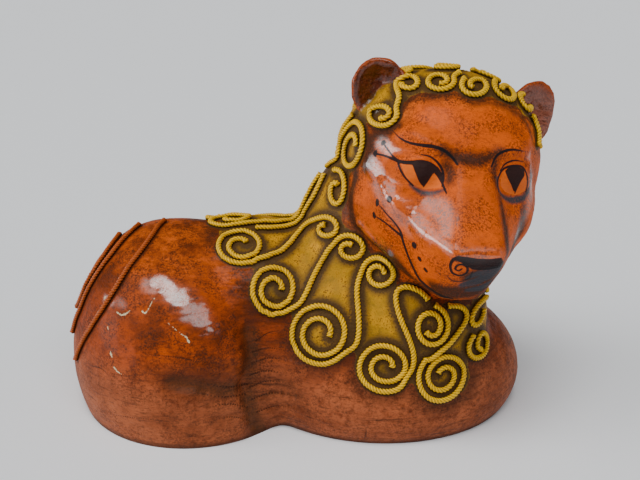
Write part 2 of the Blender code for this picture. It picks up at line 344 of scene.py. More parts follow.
shell.normal_update()
smooth_form = BVHTree.FromBMesh(shell)
dents = traced(DENTS)
crests = traced(CRESTS)
waist = smooth_form.ray_cast(*picture_ray("near", *WAIST_AIM))[0]
ear_middles = [head @ (Vector(EAR_PLACE[side]) * MM) for side in (-1, 1)]
ear_front = (head.to_3x3() @ Vector((1, 0, 0))).normalized()
for vert in shell.verts:
    spot = vert.co
    rise = sum(height * noise.noise(spot * often) for height, often in RIPPLES)
    flat = spot * WRINKLES
    rise += bell(spot.x - waist.x, WAIST_REACH) * (spot.y < WAIST_FAR_EDGE) * ridges(flat)
    rise += WRINKLE_HEIGHT * ridges(flat * 0.6 + WRINKLE_SHIFT)
    for middle in ear_middles:
        inside = max(0.0, 1 - (spot - middle).length / CRUMPLE_REACH)
        rise += min(1.0, inside * 2.4) * CRUMPLE_HEIGHT * ridges(spot * CRUMPLES)
    rise -= lift_of(dents, spot)
    rise += lift_of(crests, spot) * (0.85 + 0.5 * noise.noise(spot * CREST_BREAKS))
    vert.co = spot + vert.normal * rise * MM * min(1.0, max(0.0, spot.z / FLOOR_FADE))
cut = bmesh.ops.bisect_plane(
    shell,
    geom=shell.verts[:] + shell.edges[:] + shell.faces[:],
    plane_co=(0, 0, 0),
    plane_no=(0, 0, -1),
    clear_outer=True,
)
rim = [e for e in cut["geom_cut"] if isinstance(e, bmesh.types.BMEdge)]
bmesh.ops.contextual_create(shell, geom=rim)
shell.normal_update()
form = BVHTree.FromBMesh(shell)


# The ropes are four-millimetre cotton cord of three strands, cut to length, coiled into scrolls and
# glued flat on the shell, then painted over with it. Each length is one piece. Mustard ones make the
# mane, and three plain orange-brown ones make the tail.
MANE_ROPE = 4.0
TAIL_ROPE = 3.6
ROPE_LAY = 1.8
ROPE_SUNK = 0.42
ROPE_STEP = 0.5
STRAND_POINTS = 6
STRAND_SHARE = 0.464
GROOVE = 0.79
# A cut end swells as its strands part, over this many mm, and is a little rounded at the very tip.
END_SWELL = 0.24
END_REACH = 1.6
TIP_ROUNDING = 0.14
TIP_REACH = 0.30


def curl(x, y, wide, tall, clock, turns, keep=0.3, tilt=0.0, ease=1.3):
    """A flat spiral from its outer end at a clock angle to its inner end."""
    count = max(4, round(abs(turns) * 12))
    lean = math.radians(tilt)
    points = []
    for i in range(count + 1):
        t = i / count
        angle = math.radians(clock + 360 * turns * t)
        scale = 1 - (1 - keep) * t**ease
        dx = wide * scale * math.sin(angle)
        dy = -tall * scale * math.cos(angle)
        turned_x = x + dx * math.cos(lean) - dy * math.sin(lean)
        turned_y = y + dx * math.sin(lean) + dy * math.cos(lean)
        points.append((turned_x, turned_y))
    return points


def uncurl(*args, **kwargs):
    return curl(*args, **kwargs)[::-1]


# Each length by its number: the picture that it is drawn on, and its points or spirals there.
MANE_SCROLLS = {
    # the cape's near side, from the back to the breast
    1: ("near", uncurl(327, 228, 13.5, 11.5, -40, 1.1)
            + [(309, 223), (297, 235), (283, 252)]
            + curl(241.5, 247, 24.5, 17.5, 135, 1.75, ease=1.5)),
    2: ("near", uncurl(350.5, 248, 16.5, 14, -75, 1.3)
            + [(329, 250), (317, 271), (310, 287), (301, 304)]
            + curl(274.5, 289.5, 23.5, 24.5, 148, 1.85, ease=1.55)),
    3: ("near", uncurl(380, 273, 17.5, 17.5, -72, 1.45)
            + [(357, 287), (358, 306), (359, 327), (356, 345)]
            + curl(321, 333, 30, 31, 128, 1.95, ease=1.6)),
    4: ("near", [(428, 300), (420, 291), (407, 286), (397, 291), (397, 307),
                 (404, 326), (410, 340), (414, 355), (412, 368), (405, 379)]
            + curl(385, 366, 29, 26.5, 150, 1.85, keep=0.25, ease=1.2)),
    5: ("near", curl(430.5, 326, 18, 21.5, 12, 1.6, keep=0.36, ease=1.05)),
    6: ("near", [(447, 306), (458, 306), (465, 312), (464, 321), (458, 330),
                 (450, 341), (439, 351), (427, 360)]
            + curl(442.5, 375.5, 24.5, 29.5, -72, -2.05, keep=0.25, tilt=28, ease=1.1)),
    # the breast under the chin
    9: ("near", [(484, 297), (476, 305), (470, 315), (470, 323), (475, 325),
                 (480, 318), (482, 309)]),
    10: ("near", [(472, 334), (467, 343), (467, 352), (473, 358), (481, 356), (485, 347),
                  (484, 335), (480, 332), (476, 338), (475, 346), (479, 349)]),
    # nape, down to the back
    7: ("near", uncurl(354, 147, 11.5, 26, -60, 1.4, tilt=12)
            + [(338, 146), (332, 158), (329, 168)]),
    8: ("near", curl(337.5, 190, 10, 20, -20, 1.15, keep=0.25, tilt=5)),
    34: ("top", [(350, 230), (338, 230), (322, 233), (304, 240)]
            + curl(262.5, 230.5, 26, 19, 130, 1.35)),
    35: ("rear", [(358.3, 185), (358, 190), (356, 202), (352.5, 213), (348.5, 225),
                  (348, 236)]),
    36: ("near", [(326, 175), (320.5, 187), (315, 198), (308.5, 208), (303, 218.5),
                  (293, 226), (279, 229), (267, 229.5), (256, 229.5)]),
    37: ("near", [(530, 116), (533.5, 122), (536, 130), (537, 138), (536.5, 146)]),
    # the fringe over the forehead, from the near ear to the far ear
    11: ("near", uncurl(383, 115, 16, 13, 60, 1.38)
            + [(401, 98), (398, 91)]
            + curl(409, 85, 12, 8, -80, 0.95, keep=0.5)),
    12: ("near", [(459, 75)] + curl(440, 83, 14.5, 9, 62, 1.35, ease=1.5)),
    13: ("near", curl(475, 87.5, 14.5, 10.5, -50, -1.25)),
    14: ("near", curl(504, 92.5, 14, 7.5, -90, -1.1, tilt=42)),
    15: ("near", curl(525, 105, 12, 4.5, -60, -0.8, tilt=58)),
    # behind the fringe
    16: ("crown", curl(258, 240, 17, 15, 100, 1.15)),
    17: ("crown", curl(310, 236, 18, 15, 60, -1.15)),
    18: ("crown", curl(360, 250, 17, 17, 20, 1.15)),
    19: ("crown", curl(268, 292, 24, 20, 60, -1.4)),
    20: ("crown", curl(334, 300, 24, 20, -60, 1.4)),
    # the cape's far side, in fewer and plainer turns
    21: ("far", uncurl(386, 238, 13, 11, 40, -1.05) + [(408, 236), (424, 244), (440, 254)]
            + curl(479, 250, 22, 17, -135, -1.4)),
    22: ("far", uncurl(362, 254, 13, 13, 75, -1.15)
            + [(388, 258), (400, 275), (408, 291), (420, 306)]
            + curl(448, 294, 23, 23, -148, -1.5)),
    23: ("far", uncurl(330, 268, 15, 15, 72, -1.2)
            + [(356, 280), (359, 300), (361, 322), (368, 343)]
            + curl(400, 335, 28, 28, -128, -1.5)),
    24: ("far", uncurl(292, 274, 14, 14, 80, -1.2)
            + [(312, 290), (309, 310), (307, 332), (312, 352)]
            + curl(341, 367, 27, 25, -135, -1.35)),
    25: ("far", uncurl(252, 280, 13, 13, 80, -1.2)
            + [(270, 296), (262, 316), (255, 334), (256, 352)]
            + curl(280, 367, 22, 22, -128, -1.35)),
    # the back of the head and neck
    26: ("rear", curl(296, 190, 22, 24, 70, 1.3)),
    27: ("rear", curl(322, 243, 16, 20, -30, -1.2)),
    28: ("far", curl(290, 215, 20, 18, -60, 1.3)),
    29: ("far", curl(230, 225, 18, 18, 60, -1.3)),
    # the front and the far side of the face
    30: ("front", curl(308, 264, 17, 20, 0, 1.3)),
    31: ("front", curl(352, 284, 18, 20, 0, -1.3)),
    32: ("front", curl(374, 146, 8, 13, 0, 1.0)),
    33: ("front", curl(366, 192, 11, 17, 0, -1.1)),
}
TAIL_RUNS = {
    1: [(297, 186), (311, 190), (320, 202), (323, 220), (318, 240), (309, 258), (299, 272)],
    2: [(313, 170), (324, 176), (335, 192), (338, 212), (334, 238), (324, 266), (307, 299)],
    3: [(333, 159), (348, 164), (365, 175), (377, 196), (381, 220), (377, 249), (365, 279),
        (338, 320)],
}


def even_path(path, step):
    """The same path with a point every step."""
    places = np.array([tuple(p) for p in path])
    arc = np.r_[0, np.cumsum(np.linalg.norm(np.diff(places, axis=0), axis=1))]
    count = max(4, round(arc[-1] / step))
    at = np.linspace(0, arc[-1], count + 1)
    return [Vector(p) for p in np.stack([np.interp(at, arc, places[:, k]) for k in range(3)], 1)]


def softened(values, rounds):
    for _ in range(rounds):
        inner = [(a + 2 * b + c) / 4 for a, b, c in zip(values, values[1:], values[2:])]
        values = [values[0]] + inner + [values[-1]]
    return values


def strand_outline():
    """Radius shares round a three-strand rope, its grooves half filled by paint."""
    out = 1 - STRAND_SHARE
    shares = []
    for i in range(3 * STRAND_POINTS):
        angle = (i / STRAND_POINTS - math.floor(i / STRAND_POINTS + 0.5)) * 2 * math.pi / 3
        aside = out * math.sin(angle)
        reach = out * math.cos(angle) + math.sqrt(max(0, STRAND_SHARE**2 - aside**2))
        shares.append(max(reach, GROOVE))
    return shares


OUTLINE = strand_outline()


def rope_mesh(name, path, normals, diameter):
    """A twisted rope along the path, with its ridge, top and run kept for the paint."""
    around = len(OUTLINE)
    count = len(path) - 1
    rope = bmesh.new()
    ridge = rope.verts.layers.float.new("ridge")
    top = rope.verts.layers.float.new("top")
    run = rope.verts.layers.float.new("run")
    strand = rope.verts.layers.float.new("strand")
    bmesh.ops.create_grid(rope, x_segments=around, y_segments=count, size=1)
    total = count * ROPE_STEP
    lay = ROPE_LAY * diameter
    for vert in rope.verts:
        i = round((vert.co.x + 1) / 2 * around) % around
        j = round((vert.co.y + 1) / 2 * count)
        ahead = (path[min(j + 1, count)] - path[max(j - 1, 0)]).normalized()
        up = (normals[j] - ahead * normals[j].dot(ahead)).normalized()
        side = ahead.cross(up)
        s = j * ROPE_STEP
        end = min(s, total - s)
        swell = 1 + END_SWELL * bell(end, END_REACH) + 0.05 * noise.noise(path[j] * 260)
        swell *= 1 - TIP_ROUNDING * bell(end, TIP_REACH)
        angle = 2 * math.pi * (i / around + s / lay)
        reach = OUTLINE[i] * diameter / 2 * MM * swell
        vert.co = path[j] + (up * math.cos(angle) + side * math.sin(angle)) * reach
        vert[ridge] = (OUTLINE[i] - GROOVE) / (1 - GROOVE)
        vert[top] = math.cos(angle) * OUTLINE[i]
        vert[run] = s
        vert[strand] = i / around * 3
    bmesh.ops.remove_doubles(rope, verts=rope.verts[:], dist=1e-6)
    rope_ends = [e for e in rope.edges if e.is_boundary]
    bmesh.ops.holes_fill(rope, edges=rope_ends)
    bmesh.ops.recalc_face_normals(rope, faces=rope.faces[:])
    piece = as_object(rope, name)
    rope.free()
    return piece


def plug(node, inputs):
    """Sets each named input of the node, or links it where it gets a wire."""
    for name, value in inputs.items():
        if isinstance(value, Wire):
            value.tree.links.new(value.socket, node.inputs[name])
        else:
            node.inputs[name].default_value = value


class Wire:
    """A socket of a material. Sums on wires add Math nodes, and add() makes any other node."""

    def __init__(self, tree, socket=None):
        self.tree = tree
        self.socket = socket

    def add(self, kind, settings=None, inputs=None, out=0):
        node = self.tree.nodes.new("ShaderNode" + kind)
        for name, value in (settings or {}).items():
            setattr(node, name, value)
        plug(node, inputs or {})
        return Wire(self.tree, node.outputs[out])

    def sum(self, operation, *values, clamp=False):
        settings = {"operation": operation, "use_clamp": clamp}
        return self.add("Math", settings, dict(enumerate(values)))

    def __add__(self, other):
        return self.sum("ADD", self, other)

    __radd__ = __add__

    def __sub__(self, other):
        return self.sum("SUBTRACT", self, other)

    def __rsub__(self, other):
        return self.sum("SUBTRACT", other, self)

    def __mul__(self, other):
        return self.sum("MULTIPLY", self, other)

    def clip(self):
        return self.sum("ADD", self, 0.0, clamp=True)

    def between(self, low, high):
        """0 at low, 1 at high, eased; high may be the smaller one."""
        flip = low > high
        inputs = {0: self, 1: min(low, high), 2: max(low, high), 3: float(flip), 4: float(not flip)}
        return self.add("MapRange", {"interpolation_type": "SMOOTHSTEP"}, inputs)

    def blend(self, low, high):
        """The low colour where this wire is 0, and the high one where it is 1."""
        first, second = (c if isinstance(c, Wire) else (*c, 1) for c in (low, high))
        return self.add("Mix", {"data_type": "RGBA"}, {0: self, 6: first, 7: second}, out=2)

    def mixed(self, mask, other):
        """This colour, and the other one where the mask is 1."""
        return mask.blend(self, other)

    def bumped(self):
        """The bent normals of this height in mm."""
        return self.add("Bump", {}, {"Strength": 1.0, "Distance": MM, "Height": self})

    def field(self, name):
        return self.add("Attribute", {"attribute_name": name}, out="Fac")

    def grain(self, spot, scale, detail=2.0, rough=0.5, stretch=(1, 1, 1)):
        """Noise over the surface, around a half; scale counts features in each millimetre."""
        inputs = {"Vector": spot, "Scale": tuple(scale * s for s in stretch)}
        bent = self.add("Mapping", {}, inputs)
        inputs = {"Vector": bent, "Scale": 1.0, "Detail": detail, "Roughness": rough}
        return self.add("TexNoise", {}, inputs)


def start_material(name):
    """A new material, its shader, a wire to add nodes with, and the place on the piece in mm."""
    material = bpy.data.materials.new(name)
    material.use_nodes = True
    tree = material.node_tree
    shader = tree.nodes["Principled BSDF"]
    wire = Wire(tree)
    place = wire.add("TexCoord", out="Object")
    spot = wire.add("VectorMath", {"operation": "SCALE"}, {"Vector": place, "Scale": 1 / MM})
    return material, shader, wire, spot


def rope_material(name, bright, mid, rope_glaze_and_shade):
    """Glossy paint over cotton: bright on the ridges, dark glaze in the grooves, and painted shade on
    the side where the rope meets the shell.
    """
    material, shader, wire, spot = start_material(name)
    ridge = wire.field("ridge")
    top = wire.field("top")
    lie = {"X": wire.field("run") * 0.35, "Y": wire.field("strand") * 9.0}
    along = wire.add("CombineXYZ", {}, lie)
    fibre = wire.add("TexNoise", {}, {"Vector": along, "Scale": 1.0, "Detail": 2.0})
    patch = wire.grain(spot, 0.09)
    tone = (fibre * 0.7 + patch * 1.1 - 0.35).clip()
    base = tone.blend(mid, bright)
    # dark glaze in the grooves, and painted shade on the side of the rope toward the shell
    sunk = (ridge.between(0.65, 0.0) * 0.55 + top.between(0.10, -0.50)).clip()
    base = base.mixed(sunk * 0.90, rope_glaze_and_shade)
    specks = wire.grain(spot, 0.6, 3.0).between(0.56, 0.70) * 0.35
    base = base.mixed(specks, rope_glaze_and_shade)
    plug(shader, {
        "Base Color": base,
        "Roughness": 0.27 + fibre * 0.25,
        "Coat Weight": 0.12,
        "Coat Roughness": 0.15,
        "Specular IOR Level": 0.95,
        "Specular Tint": (*bright, 1),
        "Normal": (fibre * 0.10 + wire.grain(spot, 1.6, 3.0) * 0.10).bumped(),
    })
    return material


MUSTARD = rope_material("mustard_rope", (0.98, 0.58, 0.006), (0.72, 0.38, 0.003), (0.060, 0.034, 0.005))
RUSSET = rope_material("russet_rope", (0.52, 0.110, 0.018), (0.34, 0.064, 0.009), (0.035, 0.012, 0.006))
mane_lines = []
tail_lines = []


def glue_rope(name, picture, points, diameter, material, kept):
    """Lays one length of rope on the shell, and keeps its line in the list for the glaze and painted
    shade beside it.
    """
    path = softened(drop_on(form, picture, points), 3)
    path = softened(even_path(path, ROPE_STEP * MM), 4)
    normals = softened([form.find_nearest(p)[1] for p in path], 8)
    path = [form.find_nearest(p)[0] for p in path]
    lifted = softened([p + n * diameter * ROPE_SUNK * MM for p, n in zip(path, normals)], 4)
    kept.extend(path)
    piece = rope_mesh(name + "_rope", lifted, normals, diameter)
    piece.data.materials.append(material)
    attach(piece, "root")
    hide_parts(name)


for number, (picture, points) in MANE_SCROLLS.items():
    glue_rope(f"mane_cord_{number:02}", picture, points, MANE_ROPE, MUSTARD, mane_lines)
for number, points in TAIL_RUNS.items():
    glue_rope(f"tail_cord_{number}", "rump", points, TAIL_ROPE, RUSSET, tail_lines)


# The paint goes over the dry shell: orange on the face, a darker orange-brown on the body, a mustard
# ground inside the mane, a thin dark glaze wiped into every corner and deepened there with painted
# shade, and black brushwork for the eyes, nose, mouth and whiskers. Gloss varnish covers it all. Old
# knocks show cream paper.
# Each brush stroke is a line on the near picture with its half width in mm at both ends and between.
INK_STROKES = (
    # brows
    ([(392.5, 130.4), (400, 138), (409.7, 142.8), (422.6, 145.3), (433.8, 146.7), (443.3, 150),
      (451.9, 157), (457.4, 164.3)], (0.4, 1.25, 0.8)),
    ([(491.5, 166.5), (495.8, 157), (502.6, 151.9), (512, 149.6), (522.4, 151), (536, 153)],
     (0.7, 0.95, 0.4)),
    # upper lids, creases above them, lower lids
    ([(396, 160), (403, 162.2), (411, 162.6), (422, 162.4), (432, 165.6), (438.5, 172), (441.8, 182),
      (446.3, 193)], (1.0, 1.7, 0.7)),
    ([(421, 154.6), (430, 156.6), (438, 163), (442.6, 171), (443.6, 179), (442, 186)], (0.45, 0.9, 0.6)),
    ([(397.5, 161), (400.6, 170), (406, 178.6), (413, 185.5)], (0.8, 0.9, 0.6)),
    ([(500, 170.8), (505.2, 164), (513.8, 160.5), (523, 161.6)], (0.35, 0.75, 0.45)),
    ([(498.4, 192), (497.6, 182), (500.4, 173), (505, 168), (513, 166), (522.4, 167), (526.8, 175),
      (527.6, 184), (525.9, 191.5)], (0.5, 0.9, 0.6)),
    # whisker lines with a dot at each end, at the eye and on the cheek
    ([(383.6, 143.6), (388, 150), (393, 156.2), (398, 160.6)], (0.7, 0.7, 0.8)),
    ([(376, 153.7), (384.4, 155.6), (392, 158.6), (400, 162)], (0.7, 0.85, 1.1)),
    ([(377.5, 203), (386.5, 213.8), (394, 222), (400, 230.6), (402.4, 237)], (0.7, 0.75, 1.0)),
    ([(374.4, 215.6), (384.8, 222.4), (393, 229), (401, 235.6)], (0.75, 0.8, 1.0)),
    ([(401, 233.6), (403.6, 243), (407.4, 254), (412.3, 265.5), (418.3, 277.5), (426, 285.5),
      (436.4, 293), (444, 296.8), (452, 298.6)], (1.2, 1.6, 1.1)),
    # mouth scroll from the nose, and its faint outer line
    ([(458, 257.6), (453, 260), (450.3, 265.6), (452.3, 272.6), (460, 275.6), (466.6, 272.6),
      (467.2, 267.4), (462.6, 264.6), (457.4, 265.6), (455.4, 269), (458.8, 270.8), (461.6, 269)],
     (1.2, 0.9, 0.75)),
)
FAINT_STROKES = (
    ([(446.7, 275.8), (452, 280.4), (460.5, 281.4), (469, 278), (472.6, 271.6)], (0.5, 0.8, 0.5)),
    ([(389.2, 199.4), (392, 207), (397, 216)], (0.4, 0.3, 0.2)),
)
INK_DOTS = (
    (383.6, 143.4, 2.3), (375.8, 153.6, 2.3), (377.4, 202.8, 2.8), (374.2, 215.4, 2.6),
    (389.2, 199.2, 2.4), (414.2, 245.3, 2.4), (419.5, 259, 2.1), (425.6, 270, 2.1),
)
INK_SHAPES = (
    # right pupil, left pupil, nose band
    [(411.5, 162), (420, 160.5), (430, 162), (438, 167), (442.4, 174), (443.5, 183), (440.8, 183),
     (437.4, 177), (433.8, 172.4), (428.4, 181), (423.4, 188), (418.6, 181), (414.6, 171)],
    [(505, 171), (509, 167), (517, 166), (524.4, 169), (524.6, 175.6), (520, 183), (514.8, 194.4),
     (511, 184.6), (507.6, 178)],
    [(451.8, 259.6), (458, 256), (466, 256.8), (477.7, 258.6), (490, 259), (501.6, 257.6), (503.6, 262),
     (500, 267.4), (490, 269.6), (480, 270.4), (472, 269.6), (467, 266), (461, 262.6)],
)
EYE_SHAPES = (
    [(400.5, 163), (412, 162.5), (430, 163), (441, 172), (441.6, 187.4), (424, 189.4), (412, 184.4),
     (405, 176)],
    [(500.6, 178), (505, 171), (513, 167), (524, 169), (526.8, 182), (525, 191), (515, 195.6),
     (505, 192), (501, 186)],
)
WASH_AND_SHADE_STROKES = (
    # a grey wash under the near eye
    ([(410, 184.6), (417, 190), (426, 193.4), (436, 192.4), (444, 189.6)], (0.8, 1.8, 0.8)),
    # painted shade under the nose
    ([(463, 285), (476, 281), (490, 275), (500, 268)], (3.0, 5.5, 3.5)),
    ([(468, 278), (480, 273), (496, 269)], (1.5, 3.0, 2.5)),
    ([(468, 290), (480, 288), (490, 282)], (2.0, 3.5, 2.0)),
    # a grey wash round the far eye
    ([(497, 178), (498.4, 189), (503.6, 196.6), (512, 200), (521, 198.6), (527, 193), (530.6, 183),
      (531, 172)], (1.0, 2.4, 1.2)),
)
# Painted shade, laid on in dark strokes where shade falls on the face.
PAINTED_SHADE_STROKES = (
    # painted shade under the nose and chin, then up the edge of the cheek beside the ropes
    ([(436, 291), (448, 294), (462, 293), (476, 290), (488, 284), (498, 274)], (6.0, 8.0, 5.0)),
    ([(470, 277), (480, 279), (490, 276), (500, 268)], (6.0, 9.0, 5.0)),
    ([(474, 274), (484, 277), (494, 272)], (5.0, 7.0, 4.0)),
    ([(432, 286), (446, 291), (462, 291), (476, 288)], (4.0, 7.0, 6.0)),
    # the far side of the bridge, in its own shade
    ([(500, 196), (503, 214), (506, 232), (508, 254)], (2.0, 4.0, 4.0)),
    ([(524, 206), (522, 224), (514, 244), (508, 262)], (2.0, 5.0, 5.0)),
    ([(430, 291), (414, 280), (404, 270), (392, 258), (380, 249), (368, 238)], (4.0, 4.5, 3.5)),
    ([(362, 232), (354, 222), (351, 206), (352, 190), (356, 176)], (4.0, 5.0, 5.0)),
    ([(364, 168), (370, 152), (372, 138), (384, 133), (398, 126)], (4.5, 4.0, 3.5)),
    # painted shade between the brows, and inside the eye corners
    ([(442, 150), (456, 157), (472, 160), (488, 158), (500, 151)], (3.0, 5.0, 3.0)),
    ([(446, 164), (450, 172), (449, 182)], (3.0, 4.0, 2.5)),
    ([(496, 160), (494, 172), (496, 186)], (2.5, 3.0, 2.0)),
    # painted shade along the fringe
    ([(402, 110), (410, 100), (426, 98), (442, 97), (458, 97), (474, 103), (490, 103), (506, 108),
      (518, 114), (527, 124), (532, 138)], (1.2, 1.2, 1.2)),
)
# Where the varnish is thick.
GLOSS_STROKES = (
    ([(370, 168), (384, 192), (404, 214), (428, 236), (448, 250)], (6.0, 9.0, 3.0)),
    ([(411, 201), (426, 203), (440, 209), (446, 222), (444, 242)], (2.0, 6.0, 3.0)),
    ([(380, 143), (388, 148), (396, 153)], (1.5, 2.5, 1.0)),
    ([(362, 226), (376, 241), (390, 253)], (4.0, 5.0, 4.0)),
    ([(529, 156), (531, 190), (526, 212), (516, 236)], (1.0, 2.5, 1.5)),
    ([(462, 256), (480, 257), (498, 255)], (2.0, 3.0, 2.0)),
    ([(150, 284), (172, 292), (198, 314), (210, 330)], (5.0, 11.0, 4.0)),
    ([(105, 298), (112, 303)], (-0.6, 0.2, -0.6)),
    ([(117, 300), (124, 306)], (-0.6, 0.6, -0.6)),
)
CRACKS = (
    ([(146, 354), (162, 356), (180, 358), (196, 361), (214, 364)], (0.2, 0.45, 0.2)),
    ([(96, 410), (110, 414), (128, 417), (146, 419), (166, 421)], (0.2, 0.4, 0.2)),
    ([(84, 362), (92, 366), (100, 368), (106, 372)], (0.2, 0.5, 0.2)),
    ([(364, 440), (366, 434), (366, 428)], (0.2, 0.4, 0.2)),
    ([(106, 372), (124, 376), (146, 374)], (0.2, 0.4, 0.1)),
    # creases that fan out from the waist
    ([(256, 341), (268, 333), (280, 331)], (0.5, 0.4, 0.1)),
    ([(253, 352), (268, 348), (286, 351)], (0.6, 0.5, 0.1)),
    ([(252, 363), (270, 358), (294, 361)], (0.6, 0.5, 0.1)),
    ([(250, 375), (266, 371), (290, 374)], (0.6, 0.6, 0.1)),
    ([(250, 387), (268, 381), (292, 384)], (0.7, 0.5, 0.1)),
    ([(252, 399), (272, 393), (298, 396)], (0.6, 0.5, 0.1)),
    ([(257, 412), (276, 406), (296, 409)], (0.5, 0.4, 0.1)),
    ([(247, 384), (226, 387), (202, 383)], (0.7, 0.6, 0.1)),
    ([(245, 394), (222, 397), (192, 392)], (0.6, 0.5, 0.1)),
    ([(247, 407), (228, 404), (204, 408)], (0.5, 0.5, 0.1)),
    ([(249, 420), (232, 417), (212, 420)], (0.4, 0.4, 0.1)),
)
CHIPS = (
    ([(117, 312), (121, 315), (127, 313), (130, 310)], (0.5, 0.9, 0.4)),
    ([(142, 311), (145, 313), (149, 308), (152, 301), (155, 298)], (0.7, 0.6, 0.3)),
    ([(168, 323), (175, 329), (181, 334), (186, 337), (189, 342)], (0.25, 0.45, 0.9)),
    ([(107.6, 327), (108.4, 330)], (0.5, 0.5, 0.3)),
    ([(110.6, 352), (111.8, 357)], (0.8, 1.0, 0.5)),
    ([(114, 367), (117, 371), (121, 374)], (0.6, 0.7, 0.4)),
    ([(94.6, 318), (98, 313), (101, 309.6)], (0.8, 1.4, 0.7)),
    ([(104, 299), (106, 296)], (0.6, 0.7, 0.4)),
)
# The mane's ground ends along the outer ropes of the cape, and along the ropes that frame the face.
CAPE_EDGE = (
    ("near", [(212, 219), (216.5, 229), (217, 243), (225, 257), (238, 267), (250, 270), (246, 287),
              (250, 303), (262, 316), (278, 319), (289, 317), (288, 333), (293, 350), (306, 364),
              (322, 368), (340, 365), (353, 355), (352, 370), (359, 386), (375, 395), (393, 395),
              (407, 388), (413, 388), (420, 400), (433, 406), (450, 404), (465, 393), (472, 378),
              (470, 362), (475, 362), (484, 358), (489, 348), (489, 338)]),
    ("front", [(292, 334), (300, 300), (322, 300), (334, 306), (348, 314), (366, 312), (380, 300),
               (392, 300)]),
    ("far", [(252, 352), (254, 376), (268, 392), (288, 394), (304, 384), (318, 392), (336, 398),
             (358, 394), (372, 376), (392, 370), (414, 368), (430, 352), (434, 330), (452, 322),
             (470, 312), (477, 294), (478, 272), (494, 270), (505, 254), (503, 238)]),
    ("top", [(250, 196), (240, 214), (242, 236), (240, 254)]),
)
FACE_EDGE = (
    ("near", [(482, 293), (470, 301), (456, 302), (440, 301), (432, 299), (424, 289), (410, 283),
              (400, 283), (398, 266), (388, 254), (374, 252), (366, 240), (357, 231), (345, 222),
              (345, 211), (350, 198), (350, 178), (357, 172), (366, 156), (368, 138), (366, 126),
              (376, 129.5), (390, 127.5), (400.5, 118), (405, 106.5), (413, 98), (425, 95), (440, 95.5),
              (455, 93.5), (464, 98), (478, 101), (490, 99), (500, 103.5), (512, 107.5), (519, 110),
              (523, 117), (529, 120), (533, 128), (534.5, 138)]),
    ("front", [(366, 122), (364, 150), (356, 178), (352, 205), (346, 226), (330, 240), (306, 240),
               (288, 243)]),
)
ORANGE = (0.70, 0.104, 0.002)
# the back's duller orange, with a painted sheen
BACK_ORANGE_AND_SHEEN = (0.74, 0.150, 0.012)
RUST = (0.30, 0.042, 0.004)
# a painted reflection of the floor, pale pink on the low sides
FLOOR_REFLECTION_PINK = (0.42, 0.138, 0.058)
BROWN = (0.110, 0.018, 0.003)
# Dark glaze colours, used both for real glaze and dirt and for painted shade.
DARK_GLAZE_AND_SHADE = (0.045, 0.014, 0.006)
GREY_GLAZE_AND_SHADE = (0.060, 0.032, 0.014)
MUSTARD_GROUND = (0.80, 0.37, 0.002)
OLIVE_GROUND = (0.26, 0.14, 0.008)
INK = (0.008, 0.008, 0.010)
# grey wash under the eyes, also used for painted shade under the nose
GREY_WASH_AND_SHADE = (0.034, 0.036, 0.044)
EYE_ORANGE = (0.66, 0.12, 0.010)
EAR_RUST = (0.36, 0.060, 0.008)
# the ears' dark insides with painted shade, and the far ear's inside painted lighter with a painted
# sheen
EAR_INSIDE_AND_SHADE = (0.070, 0.015, 0.007)
FAR_EAR_SHEEN = (0.40, 0.13, 0.08)
CREAM = (0.62, 0.50, 0.30)
# Distances in mm count up to GONE. The mesh is split twice within these bands of the brushwork.
GONE = 12.0
SPLIT_BANDS = (2.6, 1.7)
LONGEST_FENCE_STEP = 8 * MM
FENCE_STEP = 0.8 * MM
FENCE_REACH = GRAIN * MM * 0.85
MANE_SEED = ("rear", 350, 160)
FACE_SEED = ("near", 470, 130)


def brushed(strokes, dots=()):
    """A search tree over the strokes' points, and the half width at each in metres."""
    spots = []
    widths = []
    for points, (start, middle, end) in strokes:
        line = drop_on(form, "near", points, 8)
        for i, spot in enumerate(line):
            t = i / (len(line) - 1)
            width = np.interp(t, (0, 0.5, 1), (start, middle, end))
            spots.append(spot)
            widths.append(width * MM)
    # A dot is a stroke of one point.
    for x, y, radius in dots:
        spots.append(form.ray_cast(*picture_ray("near", x, y))[0])
        widths.append(radius * MM)
    return near_to(spots), widths


def to_edge(brush, spot):
    """Distance to the edge of the nearest stroke in mm, negative inside it."""
    tree, widths = brush
    found = tree.find_n(spot, 3)
    return min(min((far - widths[i]) / MM for _, i, far in found), GONE)


def shape_distance(shapes, spots, facing):
    """Distance in mm from each point to the nearest shape of the near picture, negative inside."""
    eye, ahead, right, up = (np.array(v) for v in picture_axes("near"))
    offset = spots - eye
    depth = offset @ ahead
    x = PICTURE_MIDDLE[0] + PICTURE_FOCUS * (offset @ right) / depth
    y = PICTURE_MIDDLE[1] - PICTURE_FOCUS * (offset @ up) / depth
    best = np.full(len(spots), GONE)
    for shape in shapes:
        inside = np.zeros(len(spots), bool)
        far = np.full(len(spots), 1e9)
        for (x1, y1), (x2, y2) in zip(shape, shape[1:] + shape[:1]):
            crossing = (y1 > y) != (y2 > y)
            inside ^= crossing & (x < (x2 - x1) * (y - y1) / (y2 - y1 + 1e-12) + x1)
            length = (x2 - x1) ** 2 + (y2 - y1) ** 2
            t = np.clip(((x - x1) * (x2 - x1) + (y - y1) * (y2 - y1)) / length, 0, 1)
            far = np.minimum(far, np.hypot(x - x1 - t * (x2 - x1), y - y1 - t * (y2 - y1)))
        signed = np.where(inside, -far, far) * depth / PICTURE_FOCUS / MM
        best = np.minimum(best, np.where(facing, signed, GONE))
    return best


